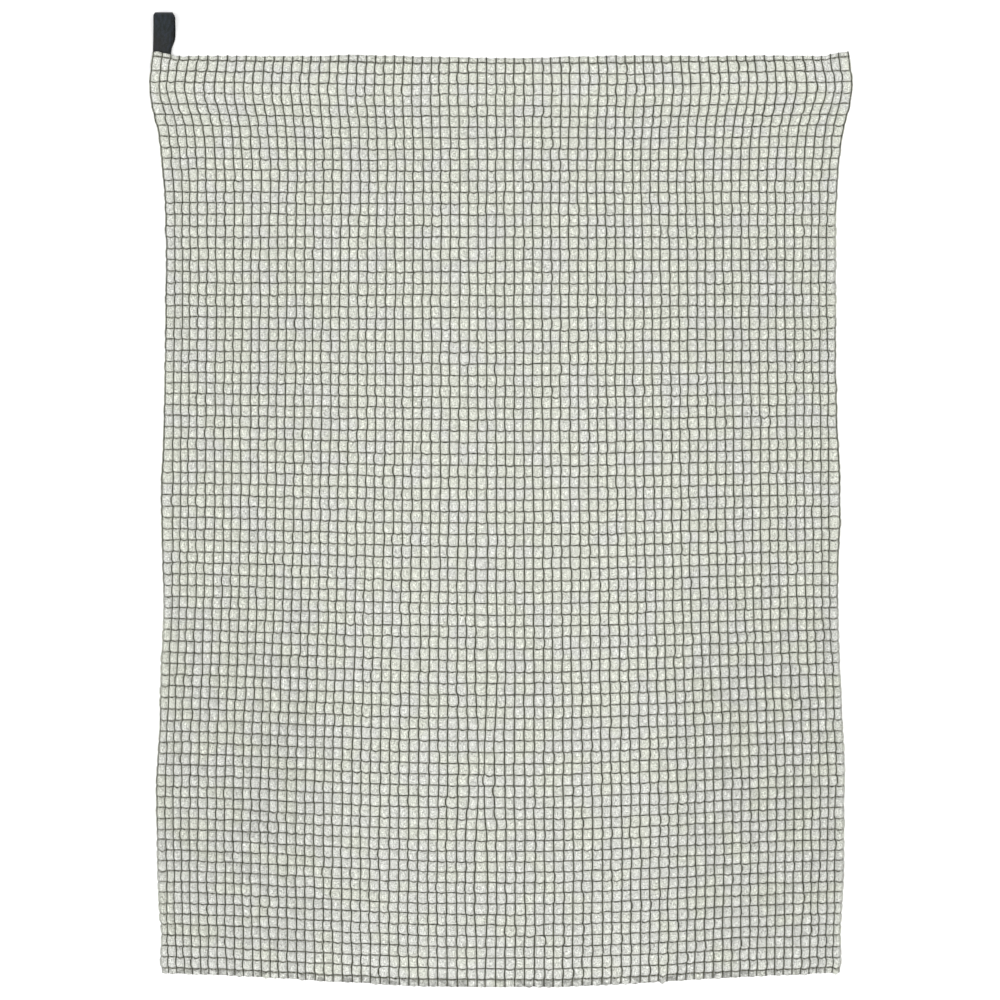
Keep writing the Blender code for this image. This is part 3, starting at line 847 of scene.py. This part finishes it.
def cottonCheck():  # loose crinkled cotton: matt, fuzzy, streaked along its warp, with painted shade in its valleys
    material, shader = startMaterial("woven crinkled cotton", 0.92, 0.2)
    threads = addNode(material, "Attribute", attribute_name="threads")
    threads = threads.outputs["Vector"]
    parts = addNode(material, "SeparateXYZ", {0: threads})
    place = addNode(material, "TexCoord").outputs["Object"]
    fromLine = []
    for axis, pitch in ((0, 6.8), (1, 8.3)):  # mm to the nearest dark thread, each way
        near = addNode(material, "Math", {0: parts.outputs[axis], 1: 0.5}, operation="PINGPONG")
        fromLine.append(addNode(material, "Math", {0: near, 1: pitch}, operation="MULTIPLY"))

    # crepe streaks, 0.4 mm across and 4 mm long, as the single pale yarns lie; in the colour partly yarn
    # tone, partly painted shade of the crepe's fine wrinkles
    crepe = addNode(material, "Mapping", {"Vector": threads, "Scale": (16.0, 2.1, 0.0)})
    streaks = addNode(material, "TexNoise", {"Vector": crepe, "Scale": 1.0, "Detail": 2.0})
    streakShade = addNode(material, "MapRange", {0: streaks, 1: 0.3, 2: 0.64, 3: 0.72, 4: 1.16})

    # lint about 0.5 mm wide, and soft crumples 4 mm wide inside the cells, the crumples' colour a painted
    # shade
    lint = addNode(material, "TexNoise", {"Vector": place, "Scale": 1800.0, "Detail": 1.0})
    lintShade = addNode(material, "MapRange", {0: lint, 1: 0.3, 2: 0.64, 3: 0.38, 4: 1.435})
    crumples = addNode(material, "TexNoise", {"Vector": place, "Scale": 250.0, "Detail": 1.0})
    softShade = addNode(material, "MapRange", {0: crumples, 1: 0.3, 2: 0.7, 3: 0.97, 4: 1.03})
    grainAndShade = streakShade
    for part in (lintShade, softShade):
        grainAndShade = addNode(material, "Math", {0: grainAndShade, 1: part}, operation="MULTIPLY")

    # yarns of two undyed lots: neutral and creamy patches about 25 mm wide, more neutral near the bottom
    patches = addNode(material, "TexNoise", {"Vector": place, "Scale": 42.0, "Detail": 1.0})
    cooler = {0: parts.outputs[1], 1: 50.0, 2: float(rows), 3: 0.04, 4: -0.09}
    cooler = addNode(material, "MapRange", cooler)
    patches = addNode(material, "Math", {0: patches, 1: cooler}, operation="ADD")
    tint = addNode(material, "ValToRGB", {0: patches})
    rampColours(tint, (0.4, "#CECFC9"), (0.6, "#CFD1C5"))

    # painted shade: the face's colour darkens into its valleys, where light is caught between puffs
    soft = {"interpolation_type": "SMOOTHSTEP"}
    valley = addNode(material, "MapRange", {0: fromLine[0], 1: 0.3, 2: 1.9, 3: 0.7, 4: 1.0}, **soft)
    groove = addNode(material, "MapRange", {0: fromLine[1], 1: 0.2, 2: 1.5, 3: 0.74, 4: 1.0}, **soft)

    # painted shade: the crumpled sides and bottom darker and the flat hems lighter, from the mesh's shade
    # attribute
    shade = addNode(material, "Attribute", attribute_name="shade")
    lit = addNode(material, "Math", {0: 1.0, 1: shade.outputs["Fac"]}, operation="SUBTRACT")

    # painted shade: the bottom hem's crumpled fold darker in places about 4 mm wide
    rough = addNode(material, "TexNoise", {"Vector": place, "Scale": 250.0, "Detail": 3.0})
    grey = addNode(material, "MapRange", {0: rough, 1: 0.38, 2: 0.58, 3: 0.5, 4: 0.04})
    onFold = {0: parts.outputs[1], 1: rows - 0.25, 2: rows + 0.15, 3: 0.0, 4: 1.0}
    onFold = addNode(material, "MapRange", onFold)
    grey = addNode(material, "Math", {0: onFold, 1: grey}, operation="MULTIPLY")
    fold = addNode(material, "Math", {0: 1.0, 1: grey}, operation="SUBTRACT")

    dark = valley
    for part in (groove, grainAndShade, lit, fold):
        dark = addNode(material, "Math", {0: dark, 1: part}, operation="MULTIPLY")

    # painted light: the tint is weaker where the painted colour is brighter, as lit fibres look paler than
    # shaded ones
    fade = addNode(material, "MapRange", {0: dark, 1: 0.6, 2: 1.3, 3: 1.12, 4: 0.78})
    tint = addNode(material, "HueSaturation", {"Saturation": fade, "Color": tint})
    cream = addNode(material, "VectorMath", {0: tint, "Scale": dark}, operation="SCALE")

    # dyed fibres beside and under each dark yarn, on both faces
    upright = addNode(material, "MapRange", {0: fromLine[0], 1: 0.3, 2: 0.6, 3: 1.0, 4: 0.0})
    cross = addNode(material, "MapRange", {0: fromLine[1], 1: 0.3, 2: 0.6, 3: 0.85, 4: 0.0})
    midCell = addNode(material, "MapRange", {0: fromLine[0], 1: 0.5, 2: 2.4, 3: 0.4, 4: 1.0})
    cross = addNode(material, "Math", {0: cross, 1: midCell}, operation="MULTIPLY")
    line = addNode(material, "Math", {0: upright, 1: cross}, operation="MAXIMUM")
    line = addNode(material, "Math", {0: line, 1: parts.outputs[2]}, operation="MULTIPLY")
    colour = addNode(material, "Mix", {0: line, 6: cream, 7: hexColour("#4B4C39")}, data_type="RGBA")
    bump = addNode(material, "Bump", {"Height": grainAndShade, "Strength": 0.35, "Distance": 0.4 * mm})
    dressShader(material, shader, colour.outputs[2], bump)
    return material


def dyedYarn(name, pale, paleFrom):  # soft twisted cotton: matt charcoal, broken by pale yarns above it
    material, shader = startMaterial(name, 0.9, 0.2)
    place = addNode(material, "TexCoord").outputs["Object"]
    passing = addNode(material, "TexNoise", {"Vector": place, "Scale": 1000.0, "Detail": 1.0})
    colour = addNode(material, "ValToRGB", {0: passing})
    rampColours(colour, (0.36, "#1E1F16"), (paleFrom, "#444538"), (paleFrom + 0.14, pale))
    crossing = addNode(material, "Attribute", attribute_name="crossing")
    pinched = {0: crossing.outputs["Fac"], 1: 0.68, 2: 0.92, 3: 0.0, 4: 0.7}
    pinched = addNode(material, "MapRange", pinched)
    darker = {0: pinched, 6: colour, 7: hexColour("#1E1F17")}
    darker = addNode(material, "Mix", darker, data_type="RGBA")
    twist = {"Vector": place, "Scale": 320.0, "Distortion": 1.0}  # 2 mm apart, coarse enough to show
    twist = addNode(material, "TexWave", twist, bands_direction="DIAGONAL")
    bump = addNode(material, "Bump", {"Height": twist, "Strength": 0.4, "Distance": 0.15 * mm})
    dressShader(material, shader, darker.outputs[2], bump)
    return material


def sewingCotton():  # undyed mercerised thread: smooth, faintly glossy
    material, shader = startMaterial("sewing cotton", 0.6, 0.1)
    place = addNode(material, "TexCoord").outputs["Object"]
    ply = {"Vector": place, "Scale": 450.0}  # 1.4 mm apart, coarse enough to show
    ply = addNode(material, "TexWave", ply, bands_direction="DIAGONAL")
    colour = addNode(material, "ValToRGB", {0: ply})
    rampColours(colour, (0.0, "#B5B6AA"), (0.7, "#CBCCC2"))
    dressShader(material, shader, colour.outputs[0])
    return material


def tapeCotton():  # tightly woven cotton tape: dark blue-grey, faintly ribbed, browner where it is handled, with painted shade on the rear leg and right edge
    material, shader = startMaterial("woven cotton tape", 0.85, 0.2)
    place = addNode(material, "UVMap", uv_map="tapeWeave")
    parts = addNode(material, "SeparateXYZ", {0: place})
    inMm = addNode(material, "Mapping", {"Vector": place, "Scale": (90.6, 89.0, 1.0)})
    rib = {"Vector": inMm, "Scale": 0.3, "Distortion": 0.6}  # ribs 1.5 mm apart, coarser than real ones
    rib = addNode(material, "TexWave", rib, bands_direction="DIAGONAL")

    # worn patches a few mm wide, and the browner left side below the fold
    stretch = addNode(material, "Mapping", {"Vector": inMm, "Scale": (0.5, 0.2, 1.0)})
    wear = addNode(material, "TexNoise", {"Vector": stretch, "Scale": 1.0, "Detail": 3.0})
    colour = addNode(material, "ValToRGB", {0: wear})
    rampColours(colour, (0.34, "#1C2121"), (0.5, "#242A2D"), (0.66, "#2A303A"))
    below = addNode(material, "MapRange", {0: parts.outputs[1], 1: 0.64, 2: 0.78, 3: 0.0, 4: 0.7})
    left = addNode(material, "MapRange", {0: parts.outputs[0], 1: 0.43, 2: 0.57, 3: 1.0, 4: 0.35})
    warm = addNode(material, "Math", {0: below, 1: left}, operation="MULTIPLY")
    handled = {0: warm, 6: colour, 7: hexColour("#2B2A28")}
    handled = addNode(material, "Mix", handled, data_type="RGBA")

    # painted shade: darker on the rear leg, in the front leg's shade, and at the right edge, which curls
    # down into shade; with lint 1 mm wide
    rearShade = addNode(material, "MapRange", {0: parts.outputs[1], 1: 0.38, 2: 0.46, 3: 0.5, 4: 1.0})
    edge = addNode(material, "MapRange", {0: parts.outputs[0], 1: 0.556, 2: 0.57, 3: 1.0, 4: 0.66})
    lint = addNode(material, "TexNoise", {"Vector": inMm, "Scale": 1.1, "Detail": 1.0})
    lintShade = addNode(material, "MapRange", {0: lint, 1: 0.3, 2: 0.7, 3: 0.78, 4: 1.24})
    shade = rearShade
    for part in (edge, lintShade):
        shade = addNode(material, "Math", {0: shade, 1: part}, operation="MULTIPLY")
    shaded = {0: handled.outputs[2], "Scale": shade}
    shaded = addNode(material, "VectorMath", shaded, operation="SCALE")
    bump = addNode(material, "Bump", {"Height": rib, "Strength": 0.5, "Distance": 0.2 * mm})
    dressShader(material, shader, shaded.outputs[0], bump)
    return material


cloth = makeCloth(cottonCheck())
print("cloth", len(cloth.data.polygons), "faces")
uprights = makeYarns("uprightYarns", dyedYarn("dyed warp yarn", "#707163", 0.54), True)
crosses = makeYarns("crossYarns", dyedYarn("dyed weft yarn", "#95968A", 0.47), False)
print("yarns", len(uprights.data.polygons), len(crosses.data.polygons), "faces")
hemStitches = makeHemStitches(sewingCotton())
print("stitches", len(hemStitches.data.polygons), "faces")
tapeMaterial = tapeCotton()
loop = makeTape(tapeMaterial)
tack = makeTack(sewingCotton())
print("loop", len(loop.data.polygons), len(tack.data.polygons), "faces")


# Studio: a pale floor, a soft sky, a low soft lamp on each side and one at the towel's foot

studio = {
    "floorSize": 30.0,
    "floorDown": 0.2 * mm,  # under the towel's back
    "floorGlow": 0.1,  # keeps the paper white close to the towel
    "skyStrength": 0.665,
    "lampPower": 39.0,
    "lampWide": 1.3,
    "lampLong": 3.6,
    "lampAside": 2.2,
    "lampBelow": -0.1,
    "lampHeight": 1.85,
    "frontPower": 29.0,
    "frontPlace": (0.0, -3.0, 2.0),
}
floorMesh = bmesh.new()
bmesh.ops.create_grid(floorMesh, x_segments=1, y_segments=1, size=studio["floorSize"] / 2)
floorData = bpy.data.meshes.new("floor")
floorMesh.to_mesh(floorData)
floorMesh.free()
floorMaterial, floorShader = startMaterial("matt white paper", 0.9, 0.0)
floorShader.inputs["Base Color"].default_value = hexColour("#FEFEFE")
floorShader.inputs["Emission Color"].default_value = hexColour("#FFFFFF")
floorShader.inputs["Emission Strength"].default_value = studio["floorGlow"]
floorData.materials.append(floorMaterial)
floor = bpy.data.objects.new("floor", floorData)
floor.location.z = -studio["floorDown"]
scene.collection.objects.link(floor)

sky = bpy.data.worlds.new("sky")
sky.use_nodes = True
glow = sky.node_tree.nodes["Background"]
glow.inputs["Color"].default_value = hexColour("#FFFFFF")
glow.inputs["Strength"].default_value = studio["skyStrength"]
scene.world = sky

sidePlace = (studio["lampAside"], studio["lampBelow"], studio["lampHeight"])
places = [(sidePlace, studio["lampPower"]), ((-sidePlace[0], *sidePlace[1:]), studio["lampPower"])]
places.append((studio["frontPlace"], studio["frontPower"]))
for place, power in places:
    lampData = bpy.data.lights.new("lamp", "AREA")
    lampData.shape = "RECTANGLE"
    lampData.size = studio["lampWide"]
    lampData.size_y = studio["lampLong"]
    lampData.energy = power
    lamp = bpy.data.objects.new("lamp", lampData)
    lamp.location = place
    lamp.rotation_euler = (-lamp.location).to_track_quat("-Z", "Y").to_euler()
    scene.collection.objects.link(lamp)
scene.view_settings.view_transform = "Standard"
